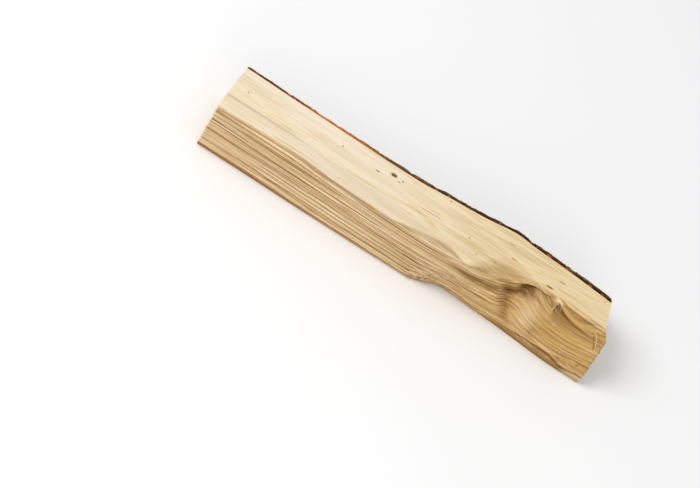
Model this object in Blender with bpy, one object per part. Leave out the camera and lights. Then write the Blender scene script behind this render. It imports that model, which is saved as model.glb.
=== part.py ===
"""A split log: a quarter of a small trunk, with the sliver above its top face split away.

The log lies on a flat split face, along X. Its other split faces are the front, which is cut
through the pith and shows the growth rings as ridges, and the pale top. The back is bark.
Lengths are in metres, and +Z is up. Y runs from the front to the bark.
"""
import math

import bmesh
import bpy
from mathutils import Vector, noise

# Driving dimensions of the log.
LENGTH = 0.406
TOP_HEIGHT = 0.057
ARRIS_RISE = 0.0003
WOOD_RADIUS = 0.0770
BARK_THICKNESS = 0.0042

# The pith, which the growth rings and the bark are centred on.
PITH_Y = -0.027
PITH_Z = 0.002

# The saw cuts. Each one's place is its X at the pith, and it leans by these slopes. The right
# one has a step, past which the rest of the log is shorter.
LEFT_END = -0.2005
LEFT_LEAN = 0.045
RIGHT_END = LEFT_END + LENGTH
RIGHT_SKEW = -0.16
RIGHT_LEAN = 0.03
CUT_STEP = 0.006
CUT_STEP_Y = (-0.0140, -0.0050)

# What puts the origin under the middle of the log.
CENTRE_X = 0.00295
CENTRE_Y = 0.01080

# The log's long edges, as (x, place) stations that a smooth curve runs through. The first two
# are lengths to add: what the trunk swells by at the knot, and the bark's thickness at the top
# edge. The rest are places of the front face's corners, from the arris at the top to the keel
# at the base.
RADIUS_GAIN = (
    (-0.200, 0.0008), (-0.134, -0.0006), (-0.014, -0.0018), (0.023, 0.0003),
    (0.054, 0.0019), (0.088, 0.0053), (0.111, 0.0036), (0.147, 0.0018), (0.200, -0.0021),
)
BARK_EDGE = (
    (-0.200, 0.0011), (-0.130, 0.0016), (-0.080, 0.0022), (-0.041, 0.0013), (0.000, 0.0018),
    (0.030, 0.0020), (0.090, 0.0028), (0.200, 0.0026),
)
ARRIS_Y = (
    (-0.200, -0.0288), (-0.115, -0.0276), (-0.080, -0.0311), (-0.020, -0.0322),
    (0.022, -0.0328), (0.047, -0.0317), (0.072, -0.0278), (0.091, -0.0215), (0.106, -0.0143),
    (0.115, -0.0108), (0.1245, -0.0062), (0.137, -0.0072), (0.149, -0.0053), (0.156, -0.0028),
    (0.172, -0.0041), (0.200, -0.0067),
)
SHOULDER_Y = (
    (-0.200, -0.0298), (-0.020, -0.0330), (0.045, -0.0320), (0.070, -0.0285),
    (0.091, -0.0240), (0.110, -0.0180), (0.125, -0.0150), (0.150, -0.0125), (0.200, -0.0136),
)
SHOULDER_Z = ((-0.200, 0.045), (0.100, 0.046), (0.150, 0.050), (0.200, 0.050))
BELLY_Y = (
    (-0.200, -0.0318), (0.020, -0.0335), (0.048, -0.0305), (0.092, -0.0275),
    (0.127, -0.0268), (0.160, -0.0250), (0.200, -0.0240),
)
BELLY_Z = 0.025
FOOT_Y = (
    (-0.200, -0.0330), (0.020, -0.0338), (0.031, -0.0312), (0.040, -0.0284), (0.052, -0.0224),
    (0.092, -0.0245), (0.121, -0.0260), (0.158, -0.0305), (0.200, -0.0306),
)
FOOT_Z = (
    (-0.200, 0.006), (0.027, 0.006), (0.048, 0.005), (0.092, 0.005), (0.121, 0.009),
    (0.150, 0.0135), (0.166, 0.0145), (0.178, 0.0105), (0.190, 0.0085), (0.200, 0.0105),
)
KEEL_Y = (
    (-0.200, -0.0310), (0.024, -0.0314), (0.040, -0.0254), (0.052, -0.0195),
    (0.092, -0.0214), (0.127, -0.0241), (0.166, -0.0279), (0.200, -0.0286),
)
CREASE_SHARE = 0.31
CREASE_DROP = 0.0006

# The knot that the split ran round, on the front face. The valley under the arris is deepest at
# a crease, and it is steep below that. The top face dips towards it from a lip. The trough slants,
# and the recess starts at a step.
VALLEY_Z = (
    (0.046, 0.0460), (0.058, 0.0440), (0.071, 0.0410), (0.086, 0.0398), (0.101, 0.0404),
    (0.109, 0.0412), (0.114, 0.0440), (0.119, 0.0490), (0.124, 0.0530), (0.129, 0.0548),
    (0.134, 0.0546), (0.142, 0.0530), (0.151, 0.0500),
)
VALLEY_DEPTH = (
    (0.040, 0.0), (0.058, 0.0014), (0.075, 0.0034), (0.095, 0.0044), (0.112, 0.0062),
    (0.121, 0.0062), (0.134, 0.0034), (0.143, 0.0020), (0.151, 0.0),
)
VALLEY_ABOVE = 0.0130
VALLEY_BELOW = 0.0030
LIP_Y = (
    (0.060, -0.0290), (0.074, -0.0130), (0.087, 0.0010), (0.0965, 0.0051), (0.1203, 0.0011),
    (0.1357, -0.0005), (0.1494, -0.0023), (0.157, -0.0028),
)
LIP_DEPTH = (
    (0.060, 0.0), (0.078, 0.0009), (0.094, 0.0020), (0.112, 0.0026), (0.138, 0.0020),
    (0.150, 0.0007), (0.157, 0.0),
)
LIP_STEP = 0.0010
TROUGH = {"x": 0.1110, "z": 0.033, "half_x": 0.0055, "half_z": 0.015, "height": -0.0032}
TROUGH_SLANT = -0.42
LOBE = {"x": 0.137, "z": 0.036, "half_x": 0.0115, "half_z": 0.012, "height": 0.0032}
RECESS_START = 0.151
RECESS_END = 0.203
RECESS_TOP = ((0.150, 0.0545), (0.159, 0.0506), (0.173, 0.0476), (0.194, 0.0472), (0.205, 0.0470))
RECESS_WIDTH = ((0.150, 0.0150), (0.165, 0.0120), (0.180, 0.0085), (0.205, 0.0060))
RECESS_LIP = 0.0012
RECESS_DEPTH = 0.0046
STEP_WIDTH = 0.0026

# The growth rings, as (radius, strength). The front face steps out at each one.
RINGS = (
    (0.0035, 0.3), (0.0077, 1.0), (0.0134, 0.6), (0.0175, 0.35), (0.0213, 0.6), (0.0269, 1.0),
    (0.0314, 0.7), (0.0348, 1.0), (0.0395, 0.4), (0.0437, 0.7), (0.0483, 0.8), (0.0526, 0.5),
    (0.0572, 0.6), (0.0620, 0.5), (0.0672, 0.5), (0.0722, 0.4), (0.0900, 0.4),
)
RING_STEP = 0.0010
RING_EDGE = 0.0006

# How far the rings are pushed out past the knot, by x, and where between the pith and the bark
# that holds. The lift is where they rise over the knot's own pocket.
SWEEP = (
    (0.040, 0.0), (0.058, 0.0005), (0.071, 0.0022), (0.088, 0.0026), (0.102, 0.0022),
    (0.112, 0.0006), (0.120, 0.0002), (0.130, 0.0034), (0.141, 0.0078), (0.155, 0.0118),
    (0.168, 0.0132), (0.180, 0.0130), (0.196, 0.0108), (0.210, 0.0090),
)
SWEEP_RISE = (-0.012, 0.034)
SWEEP_FALL = (0.046, 0.068)
LIFT = {"x": 0.122, "ring": 0.050, "half_x": 0.010, "half_ring": 0.008, "height": -0.0050}
GRAIN_WANDER = 0.0006
WANDER_SCALE = Vector((14.0, 30.0, 30.0))

# The bark: long plates with furrows between them. It is worn thin along the log's edges.
PLATE_LENGTH = 0.034
PLATE_WIDTH = 0.0095
PLATE_BEND = 0.35
FURROW_SHARE = 0.30
FURROW_DEPTH = 0.0026
BARK_ROUGHNESS = 0.0007
ROUGH_SCALE = Vector((90.0, 260.0, 1.0))
WORN_SHARE = ((-0.200, 0.44), (-0.060, 0.42), (0.000, 0.34), (0.050, 0.22), (0.200, 0.20))
FOOT_SHARE = 0.15

# How finely the section's sides, named by their last corner, and the length are divided.
SIDE_STEPS = {
    "crease": 14, "arris": 8, "shoulder": 9, "belly": 12, "foot": 12, "keel": 3, "base": 8,
    "top": 42,
}
FRONT_SIDES = ("shoulder", "belly", "foot")
TOP_SIDES = ("crease", "arris")
PLAIN_STEP = 0.0110
KNOT_STEP = 0.0056
KNOT_SPAN = (0.036, 0.192)
CAP_INSETS = (0.14, 0.30, 0.60)
CUT_PASSES = 3


def clamp(value, low=0.0, high=1.0):
    return max(low, min(high, value))


def smoothstep(low, high, value):
    t = clamp((value - low) / (high - low))
    return t * t * (3 - 2 * t)


def bell(distance, half):
    """A smooth hump: 1 in the middle and near 0 at twice the half width."""
    return math.exp(-((distance / half) ** 2))


def along(stations, x):
    """The place at x of a smooth curve through the stations, held level past its ends."""
    if x <= stations[0][0]:
        return stations[0][1]
    if x >= stations[-1][0]:
        return stations[-1][1]
    i = next(n for n in range(len(stations) - 1) if x <= stations[n + 1][0])
    (x0, v0), (x1, v1) = stations[i], stations[i + 1]
    before = stations[max(i - 1, 0)]
    after = stations[min(i + 2, len(stations) - 1)]
    slope0 = (v1 - before[1]) / (x1 - before[0])
    slope1 = (after[1] - v0) / (after[0] - x0)
    span = x1 - x0
    t = (x - x0) / span
    return (
        v0 * (1 + 2 * t) * (1 - t) ** 2
        + slope0 * span * t * (1 - t) ** 2
        + v1 * t * t * (3 - 2 * t)
        + slope1 * span * t * t * (t - 1)
    )


def dip(x, y):
    """How far the top face has dipped, from 0 at the lip above the knot to 1 at the arris."""
    lip = along(LIP_Y, x)
    inside = lip - y
    slope = inside / max(lip - along(ARRIS_Y, x), LIP_STEP)
    return 0.25 * smoothstep(0.0, LIP_STEP, inside) + 0.75 * smoothstep(0.0, 1.0, slope)


def mound(shape, x, z, slant=0.0):
    """1 at the middle of one of the knot's hollows or swellings, and near 0 outside it."""
    centre = shape["x"] + slant * (z - shape["z"])
    return bell(x - centre, shape["half_x"]) * bell(z - shape["z"], shape["half_z"])


def ring_radius(x, y, z):
    """The distance from the pith, followed along the grain, which bends round the knot."""
    radius = math.hypot(y - PITH_Y, z - PITH_Z)
    push = along(SWEEP, x) * smoothstep(*SWEEP_RISE, radius) * (1 - smoothstep(*SWEEP_FALL, radius))
    lift = bell(x - LIFT["x"], LIFT["half_x"]) * bell(radius - LIFT["ring"], LIFT["half_ring"])
    wander = GRAIN_WANDER * noise.noise(Vector((x, y, z)) * WANDER_SCALE)
    return radius + push + LIFT["height"] * lift + wander


def ring_steps(radius):
    """The height of the split's steps: it jumps out at each ring and falls away to the next."""
    passed = [n for n in range(len(RINGS) - 1) if RINGS[n][0] <= radius]
    i = passed[-1] if passed else 0
    (edge, strength), (next_edge, _) = RINGS[i], RINGS[i + 1]
    jump = smoothstep(0.0, RING_EDGE, radius - edge)
    after = strength * (0.5 - clamp((radius - edge) / (next_edge - edge)))
    before = -0.5 * RINGS[max(i - 1, 0)][1]
    return RING_STEP * (before + (after - before) * jump)


def valley(x, z):
    """1 in the crease of the valley under the arris, and 0 outside the valley."""
    above = z - along(VALLEY_Z, x)
    slope = above / VALLEY_ABOVE if above > 0 else -above / VALLEY_BELOW
    return 1 - smoothstep(0.0, 1.0, slope)


def recess(x, z):
    """1 in the recess past the knot, deepest under its upper edge, and 0 outside it."""
    step = smoothstep(RECESS_START - STEP_WIDTH, RECESS_START + STEP_WIDTH, x)
    fade = 1 - smoothstep(RECESS_START, RECESS_END, x)
    below = along(RECESS_TOP, x) - z
    profile = smoothstep(-RECESS_LIP, RECESS_LIP, below)
    return step * fade * profile * (1 - smoothstep(0.1, 1.0, below / along(RECESS_WIDTH, x)))


def knot_relief(x, z):
    """How far the front face stands out where the grain runs round the knot."""
    height = -along(VALLEY_DEPTH, x) * valley(x, z)
    height += TROUGH["height"] * mound(TROUGH, x, z, TROUGH_SLANT)
    height += LOBE["height"] * mound(LOBE, x, z)
    return height - RECESS_DEPTH * recess(x, z)


def bark_relief(x, arc):
    """The height of the bark's plates, by distance along the log and round it."""
    place = Vector((x / PLATE_LENGTH, arc / PLATE_WIDTH, 0.0))
    bend = noise.noise_vector(place) * PLATE_BEND
    near, second = noise.voronoi(place + bend)[0][:2]
    plate = smoothstep(0.02, FURROW_SHARE, second - near)
    rough = noise.noise(Vector((x, arc, 0.0)) * ROUGH_SCALE)
    return FURROW_DEPTH * (plate - 1) + BARK_ROUGHNESS * rough


def wood_radius(x, angle):
    """The trunk's radius under its bark. The swelling at the knot fades round to the back."""
    gain = along(RADIUS_GAIN, x)
    return WOOD_RADIUS + gain * smoothstep(-0.3, 0.7, angle)


def on_arc(radius, angle):
    return Vector((PITH_Y + radius * math.cos(angle), PITH_Z + radius * math.sin(angle)))


def bark_angles(x):
    """Where the bark starts and ends round the pith: at the flat base and at the top face."""
    radius = WOOD_RADIUS + BARK_THICKNESS
    low = math.asin(-PITH_Z / radius)
    edge = WOOD_RADIUS + along(RADIUS_GAIN, x) + along(BARK_EDGE, x)
    return low, math.asin((TOP_HEIGHT - PITH_Z) / edge)


def corners(x):
    """The section's named corners at x, as (y, z), from the bark's top edge round to its foot."""
    low, high = bark_angles(x)
    top = on_arc(wood_radius(x, high) + along(BARK_EDGE, x), high)
    arris = Vector((along(ARRIS_Y, x), TOP_HEIGHT + ARRIS_RISE))
    crease = arris.lerp(top, CREASE_SHARE)
    crease.y -= CREASE_DROP
    return {
        "top": top,
        "crease": crease,
        "arris": arris,
        "shoulder": Vector((along(SHOULDER_Y, x), along(SHOULDER_Z, x))),
        "belly": Vector((along(BELLY_Y, x), BELLY_Z)),
        "foot": Vector((along(FOOT_Y, x), along(FOOT_Z, x))),
        "keel": Vector((along(KEEL_Y, x), 0.0)),
        "base": on_arc(WOOD_RADIUS + BARK_THICKNESS, low),
    }


def skin_stops():
    """Each point of the section's outline, as its side and its share of the way along it."""
    names = list(corners(0.0))
    pairs = list(zip(names, names[1:] + names[:1]))
    return [(a, b, i / SIDE_STEPS[b]) for a, b in pairs for i in range(SIDE_STEPS[b])]


def split_point(x, start, end, share):
    """A point, as (y, z), of the split faces and the base."""
    named = corners(x)
    point = named[start].lerp(named[end], share)
    if end in TOP_SIDES:
        point.y -= along(LIP_DEPTH, x) * dip(x, point.x)
    if end in FRONT_SIDES:
        if end == "shoulder":
            point.y -= along(LIP_DEPTH, x) * (1 - share) ** 2
        edge = smoothstep(0.0, 0.25, share) if end == "shoulder" else 1.0
        fade = 1 - smoothstep(0.3, 1.0, share) if end == "foot" else 1.0
        steps = ring_steps(ring_radius(x, point.x, point.y))
        stand = knot_relief(x, point.y) * fade + steps
        point.x -= stand * edge
    return point.x, point.y


def bark_point(x, share):
    """A point, as (y, z), of the bark, from the flat base up to the top edge."""
    low, high = bark_angles(x)
    angle = low + (high - low) * share
    worn = smoothstep(1 - along(WORN_SHARE, x), 1.0, share)
    thickness = BARK_THICKNESS * (1 - worn) + along(BARK_EDGE, x) * worn
    relief = bark_relief(x, angle * WOOD_RADIUS) * smoothstep(0.0, FOOT_SHARE, share) * (1 - worn)
    point = on_arc(wood_radius(x, angle) + thickness + relief, angle)
    return point.x, max(point.y, 0.0)


def skin_point(x, stop):
    start, end, share = stop
    return bark_point(x, share) if end == "top" else split_point(x, start, end, share)


def left_cut(y, z):
    return LEFT_END + LEFT_LEAN * z


def right_cut(y, z):
    step = CUT_STEP * smoothstep(*CUT_STEP_Y, y)
    return RIGHT_END + RIGHT_SKEW * (y - PITH_Y) + RIGHT_LEAN * z - step


def station_shares():
    """Shares of the length for the section's stations, closer together at the knot."""
    shares = []
    x = LEFT_END
    while x < RIGHT_END - PLAIN_STEP / 2:
        shares.append((x - LEFT_END) / LENGTH)
        x += KNOT_STEP if KNOT_SPAN[0] < x < KNOT_SPAN[1] else PLAIN_STEP
    return shares + [1.0]


def skin_place(stop, share):
    """Where the outline's stop comes at a share of the way from one saw cut to the other."""
    x = LEFT_END + share * LENGTH
    for _ in range(CUT_PASSES):
        y, z = skin_point(x, stop)
        left = left_cut(y, z)
        x = left + (right_cut(y, z) - left) * share
    return Vector((x, y, z))


def add_cap(bm, ring, places, cut, flip):
    """Closes an end with rings of quads and a fan about its middle, all in the saw cut."""
    count = len(ring)
    middle = sum(places, Vector()) / count
    for inset in CAP_INSETS:
        inner = []
        for place in places:
            point = place.lerp(middle, inset)
            inner.append(bm.verts.new((cut(point.y, point.z), point.y, point.z)))
        for i in range(count):
            j = (i + 1) % count
            face = (ring[i], ring[j], inner[j], inner[i])
            bm.faces.new(face[::-1] if flip else face)
        ring = inner
    hub = bm.verts.new((cut(middle.y, middle.z), middle.y, middle.z))
    for i in range(count):
        face = (ring[i], ring[(i + 1) % count], hub)
        bm.faces.new(face[::-1] if flip else face)


def build_log():
    """The log's closed skin: a loft of sections, closed by the two saw cuts."""
    bm = bmesh.new()
    stops = skin_stops()
    grid = [[skin_place(stop, share) for stop in stops] for share in station_shares()]
    rings = [[bm.verts.new(place) for place in places] for places in grid]
    for near, far in zip(rings, rings[1:]):
        for i, stop in enumerate(stops):
            j = (i + 1) % len(stops)
            face = bm.faces.new((near[i], near[j], far[j], far[i]))
            face.material_index = 1 if stop[1] == "top" else 0
    add_cap(bm, rings[0], grid[0], left_cut, flip=True)
    add_cap(bm, rings[-1], grid[-1], right_cut, flip=False)
    bmesh.ops.translate(bm, verts=bm.verts, vec=(-CENTRE_X, -CENTRE_Y, 0.0))
    bmesh.ops.recalc_face_normals(bm, faces=bm.faces)
    bmesh.ops.triangulate(bm, faces=bm.faces)
    return bm


def finish_material(name, colour, roughness):
    material = bpy.data.materials.new(name)
    material.use_nodes = True
    shader = material.node_tree.nodes["Principled BSDF"]
    shader.inputs["Base Color"].default_value = (*colour, 1.0)
    shader.inputs["Roughness"].default_value = roughness
    shader.inputs["Metallic"].default_value = 0.0
    material.diffuse_color = (*colour, 1.0)
    return material


def main():
    for old in list(bpy.data.objects):
        bpy.data.objects.remove(old)
    bm = build_log()
    mesh = bpy.data.meshes.new("split_log")
    bm.to_mesh(mesh)
    bm.free()
    mesh.materials.append(finish_material("split_wood", (0.66, 0.48, 0.27), 0.75))
    mesh.materials.append(finish_material("bark", (0.10, 0.07, 0.045), 0.95))
    mesh.shade_smooth()
    mesh.set_sharp_from_angle(angle=math.radians(28))
    log = bpy.data.objects.new("split_log", mesh)
    bpy.context.scene.collection.objects.link(log)


main()
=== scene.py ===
"""The looks of a split log: its split faces, its sawn ends, its bark and its splinters.

Lengths are in metres. Until a piece is placed, Y and Z are measured as on the trunk, and then
the piece moves so that the origin is under the middle of the log.
"""
import functools
import itertools
import math
import random

import bpy
import numpy as np
from bpy.props import FloatProperty, FloatVectorProperty, IntProperty, PointerProperty
from mathutils import Matrix, Vector, noise


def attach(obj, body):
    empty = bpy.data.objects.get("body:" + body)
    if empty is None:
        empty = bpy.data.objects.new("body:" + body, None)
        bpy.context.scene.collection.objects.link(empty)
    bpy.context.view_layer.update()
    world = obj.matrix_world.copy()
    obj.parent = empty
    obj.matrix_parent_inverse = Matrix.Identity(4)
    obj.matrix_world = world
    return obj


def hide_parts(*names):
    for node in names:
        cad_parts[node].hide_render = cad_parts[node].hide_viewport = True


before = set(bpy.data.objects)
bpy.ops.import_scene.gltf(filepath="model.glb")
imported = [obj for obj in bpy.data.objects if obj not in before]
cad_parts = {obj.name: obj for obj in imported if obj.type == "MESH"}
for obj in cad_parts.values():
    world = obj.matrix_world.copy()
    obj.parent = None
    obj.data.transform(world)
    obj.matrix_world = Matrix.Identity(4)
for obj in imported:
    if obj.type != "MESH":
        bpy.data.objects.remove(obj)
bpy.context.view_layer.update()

bl_info = {
    "name": "Split Log",
    "version": (1, 0, 0),
    "blender": (4, 5, 0),
    "location": "View3D > Sidebar > Log",
    "description": "Builds a split firewood log with bark, splinters and a studio floor",
    "category": "Add Mesh",
}

# Driving dimensions of the log, as in the part's source.
LENGTH = 0.406
TOP_HEIGHT = 0.057
ARRIS_RISE = 0.0003
WOOD_RADIUS = 0.0770
BARK_THICKNESS = 0.0042
PITH_Y = -0.027
PITH_Z = 0.002

# The saw cuts. Each one's place is its X at the pith, and it leans by these slopes. The right
# one has a step, past which the rest of the log is shorter.
LEFT_END = -0.2005
LEFT_LEAN = 0.045
RIGHT_END = LEFT_END + LENGTH
RIGHT_SKEW = -0.16
RIGHT_LEAN = 0.03
CUT_STEP = 0.006
CUT_STEP_Y = (-0.0140, -0.0050)

# What puts the origin under the middle of the log.
CENTRE_X = 0.00295
CENTRE_Y = 0.01080

# The log's long edges, as (x, place) stations that a smooth curve runs through. The first two
# are lengths to add: what the trunk swells by at the knot, and the bark's thickness at the top
# edge. The rest are places of the front face's corners, from the arris at the top to the keel
# at the base.
RADIUS_GAIN = (
    (-0.200, 0.0008), (-0.134, -0.0006), (-0.014, -0.0018), (0.023, 0.0003),
    (0.054, 0.0019), (0.088, 0.0053), (0.111, 0.0036), (0.147, 0.0018), (0.200, -0.0021),
)
BARK_EDGE = (
    (-0.200, 0.0011), (-0.130, 0.0016), (-0.080, 0.0022), (-0.041, 0.0013), (0.000, 0.0018),
    (0.030, 0.0020), (0.090, 0.0028), (0.200, 0.0026),
)
ARRIS_Y = (
    (-0.200, -0.0288), (-0.115, -0.0276), (-0.080, -0.0311), (-0.020, -0.0322),
    (0.022, -0.0328), (0.047, -0.0317), (0.072, -0.0278), (0.091, -0.0215), (0.106, -0.0143),
    (0.115, -0.0108), (0.1245, -0.0062), (0.137, -0.0072), (0.149, -0.0053), (0.156, -0.0028),
    (0.172, -0.0041), (0.200, -0.0067),
)
SHOULDER_Y = (
    (-0.200, -0.0298), (-0.020, -0.0330), (0.045, -0.0320), (0.070, -0.0285),
    (0.091, -0.0240), (0.110, -0.0180), (0.125, -0.0150), (0.150, -0.0125), (0.200, -0.0136),
)
SHOULDER_Z = ((-0.200, 0.045), (0.100, 0.046), (0.150, 0.050), (0.200, 0.050))
BELLY_Y = (
    (-0.200, -0.0318), (0.020, -0.0335), (0.048, -0.0305), (0.092, -0.0275),
    (0.127, -0.0268), (0.160, -0.0250), (0.200, -0.0240),
)
BELLY_Z = 0.025
FOOT_Y = (
    (-0.200, -0.0330), (0.020, -0.0338), (0.031, -0.0312), (0.040, -0.0284), (0.052, -0.0224),
    (0.092, -0.0245), (0.121, -0.0260), (0.158, -0.0305), (0.200, -0.0306),
)
FOOT_Z = (
    (-0.200, 0.006), (0.027, 0.006), (0.048, 0.005), (0.092, 0.005), (0.121, 0.009),
    (0.150, 0.0135), (0.166, 0.0145), (0.178, 0.0105), (0.190, 0.0085), (0.200, 0.0105),
)
KEEL_Y = (
    (-0.200, -0.0310), (0.024, -0.0314), (0.040, -0.0254), (0.052, -0.0195),
    (0.092, -0.0214), (0.127, -0.0241), (0.166, -0.0279), (0.200, -0.0286),
)
CREASE_SHARE = 0.31
CREASE_DROP = 0.0006

# The knot that the split ran round, on the front face. The valley under the arris is deepest at
# a crease, and it is steep below that. The top face dips towards it from a lip. The trough slants,
# and the recess starts at a step.
VALLEY_Z = (
    (0.046, 0.0460), (0.058, 0.0440), (0.071, 0.0410), (0.086, 0.0398), (0.101, 0.0404),
    (0.109, 0.0412), (0.114, 0.0440), (0.119, 0.0490), (0.124, 0.0530), (0.129, 0.0548),
    (0.134, 0.0546), (0.142, 0.0530), (0.151, 0.0500),
)
VALLEY_DEPTH = (
    (0.040, 0.0), (0.058, 0.0014), (0.075, 0.0034), (0.095, 0.0044), (0.112, 0.0062),
    (0.121, 0.0062), (0.134, 0.0034), (0.143, 0.0020), (0.151, 0.0),
)
VALLEY_ABOVE = 0.0130
LIP_Y = (
    (0.060, -0.0290), (0.074, -0.0130), (0.087, 0.0010), (0.0965, 0.0051), (0.1203, 0.0011),
    (0.1357, -0.0005), (0.1494, -0.0023), (0.157, -0.0028),
)
LIP_DEPTH = (
    (0.060, 0.0), (0.078, 0.0009), (0.094, 0.0020), (0.112, 0.0026), (0.138, 0.0020),
    (0.150, 0.0007), (0.157, 0.0),
)
LIP_STEP = 0.0010
VALLEY_BELOW = 0.0030
TROUGH = {"x": 0.1110, "z": 0.033, "half_x": 0.0055, "half_z": 0.015, "height": -0.0032}
TROUGH_SLANT = -0.42
LOBE = {"x": 0.137, "z": 0.036, "half_x": 0.0115, "half_z": 0.012, "height": 0.0032}
RECESS_START = 0.151
RECESS_END = 0.203
RECESS_TOP = ((0.150, 0.0545), (0.159, 0.0506), (0.173, 0.0476), (0.194, 0.0472), (0.205, 0.0470))
RECESS_WIDTH = ((0.150, 0.0150), (0.165, 0.0120), (0.180, 0.0085), (0.205, 0.0060))
RECESS_LIP = 0.0012
RECESS_DEPTH = 0.0046
STEP_WIDTH = 0.0026

# The growth rings, as (radius, strength). The front face steps out at each one.
RINGS = (
    (0.0035, 0.3), (0.0077, 1.0), (0.0134, 0.6), (0.0175, 0.35), (0.0213, 0.6), (0.0269, 1.0),
    (0.0314, 0.7), (0.0348, 1.0), (0.0395, 0.4), (0.0437, 0.7), (0.0483, 0.8), (0.0526, 0.5),
    (0.0572, 0.6), (0.0620, 0.5), (0.0672, 0.5), (0.0722, 0.4), (0.0900, 0.4),
)
RING_STEP = 0.0010
RING_EDGE = 0.0006

# How far the rings are pushed out past the knot, by x, and where between the pith and the bark
# that holds. The lift is where they rise over the knot's own pocket.
SWEEP = (
    (0.040, 0.0), (0.058, 0.0005), (0.071, 0.0022), (0.088, 0.0026), (0.102, 0.0022),
    (0.112, 0.0006), (0.120, 0.0002), (0.130, 0.0034), (0.141, 0.0078), (0.155, 0.0118),
    (0.168, 0.0132), (0.180, 0.0130), (0.196, 0.0108), (0.210, 0.0090),
)
SWEEP_RISE = (-0.012, 0.034)
SWEEP_FALL = (0.046, 0.068)
LIFT = {"x": 0.122, "ring": 0.050, "half_x": 0.010, "half_ring": 0.008, "height": -0.0050}

# The bark: long plates with furrows between them. It is worn thin along the log's edges.
PLATE_LENGTH = 0.034
PLATE_WIDTH = 0.0095
PLATE_BEND = 0.35
PLATE_FRAY = 0.13
FURROW_SHARE = 0.30
FURROW_DEPTH = 0.0026
BARK_ROUGHNESS = 0.0007
ROUGH_SCALE = Vector((90.0, 260.0, 1.0))
WORN_SHARE = ((-0.200, 0.44), (-0.060, 0.42), (0.000, 0.34), (0.050, 0.22), (0.200, 0.20))

# The wood's tones, with painted shade in the knot's hollows and creases and painted
# highlights on its lit edges. The tan heartwood reaches this far from the pith on the front
# face, and it shows on the top face in a wedge along the arris. The rest are streaks, as
# (x, place), with their strength and half width along them.
HEART_EDGE = (
    (-0.200, 0.0610), (0.046, 0.0615), (0.060, 0.0630), (0.080, 0.0650), (0.110, 0.0680),
    (0.150, 0.0720), (0.200, 0.0760),
)
HEART_WEDGE = (
    (-0.014, 0.0), (0.000, 0.0045), (0.030, 0.0098), (0.044, 0.0090), (0.055, 0.0030), (0.060, 0.0),
)
CREASE_STAIN = {
    "place": (
        (-0.120, -0.0100), (-0.092, -0.0128), (-0.054, -0.0108), (-0.025, -0.0110),
        (-0.001, -0.0069), (0.010, -0.0095), (0.021, -0.0122), (0.035, -0.0150),
    ),
    "strength": (
        (-0.120, 0.0), (-0.092, 0.45), (-0.054, 0.9), (-0.025, 0.5), (0.002, 1.0), (0.018, 1.0),
        (0.026, 0.3), (0.035, 0.0),
    ),
    "half": ((-0.120, 0.0009), (-0.040, 0.0011), (-0.010, 0.0018), (0.008, 0.0026), (0.035, 0.0016)),
}
# Painted shade in the valley under the arris, with some brownish staining of the knot, by x.
VALLEY_STAIN_AND_SHADE = (
    (0.048, 0.0), (0.056, 0.55), (0.070, 0.74), (0.092, 0.60), (0.102, 0.45), (0.112, 0.65), (0.119, 0.95),
    (0.128, 0.5), (0.134, 0.0),
)
# Where painted shade darkens the deep pocket at the foot of the knot's crease.
POCKET = {"x": 0.1195, "z": 0.0505, "half_x": 0.0072, "half_z": 0.0062}
TAILS = (
    {
        "place": ((0.120, 0.0545), (0.128, 0.0555), (0.1345, 0.0545), (0.1445, 0.0522), (0.153, 0.0490)),
        "strength": ((0.116, 0.0), (0.122, 0.9), (0.137, 0.75), (0.149, 0.45), (0.154, 0.0)),
        "half": ((0.120, 0.0026), (0.135, 0.0013), (0.153, 0.0009)),
    },
    {
        "place": ((0.116, 0.0480), (0.122, 0.0520), (0.128, 0.0510), (0.1365, 0.0490), (0.150, 0.0435)),
        "strength": ((0.113, 0.0), (0.121, 0.8), (0.136, 0.60), (0.148, 0.0)),
        "half": ((0.116, 0.0024), (0.136, 0.0010), (0.150, 0.0008)),
    },
)
# A painted highlight along the broken edge above the recess, where the fibres are also paler.
TORN_EDGE_HIGHLIGHT = {
    "place": ((0.134, 0.0572), (0.1455, 0.0562), (0.1535, 0.0535), (0.156, 0.0500)),
    "strength": ((0.135, 0.0), (0.141, 0.6), (0.151, 1.0), (0.1545, 0.6), (0.157, 0.0)),
    "half": ((0.134, 0.0012), (0.148, 0.0018), (0.156, 0.0022)),
}
# Painted shade in the recess past the knot, with some brownish staining, by x.
RECESS_STAIN_AND_SHADE = ((0.1495, 0.0), (0.153, 0.74), (0.175, 0.60), (0.190, 0.55), (0.198, 0.3), (0.204, 0.2))
# Marks on the front, each as (x, z), its half sizes and its strength.
FRONT_MARKS = (
    (0.1777, 0.0155, 0.0016, 0.0010, 0.7), (0.1956, 0.0183, 0.0014, 0.0009, 0.7),
    (0.1440, 0.0241, 0.0028, 0.0022, 0.45), (0.2050, 0.0008, 0.0026, 0.0026, 1.0),
    (0.1720, 0.0072, 0.0040, 0.0010, 0.7), (0.1860, 0.0075, 0.0090, 0.0010, 0.8),
    (0.1990, 0.0115, 0.0060, 0.0008, 0.7), (0.2040, 0.0560, 0.0020, 0.0020, 0.8),
)
# Cracks on the front, each as the (x, z) of its ends, its half width and its strength.
FRONT_CRACKS = (
    (0.1930, 0.0485, 0.1988, 0.0395, 0.0007, 0.8), (0.1985, 0.0470, 0.2030, 0.0430, 0.0006, 0.6),
    (0.1970, 0.0500, 0.2050, 0.0465, 0.0007, 0.5),
)
# Painted shade: a thin dark line along the valley's crease, by x.
CREASE_SHADE_LINE = ((0.056, 0.0), (0.066, 0.75), (0.100, 0.60), (0.112, 0.8), (0.122, 0.3), (0.130, 0.0))
FOOT_ORANGE = (
    (-0.200, 1.0), (-0.110, 1.0), (-0.060, 0.60), (0.000, 0.35), (0.080, 0.50), (0.130, 0.8),
    (0.200, 0.7),
)

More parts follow.
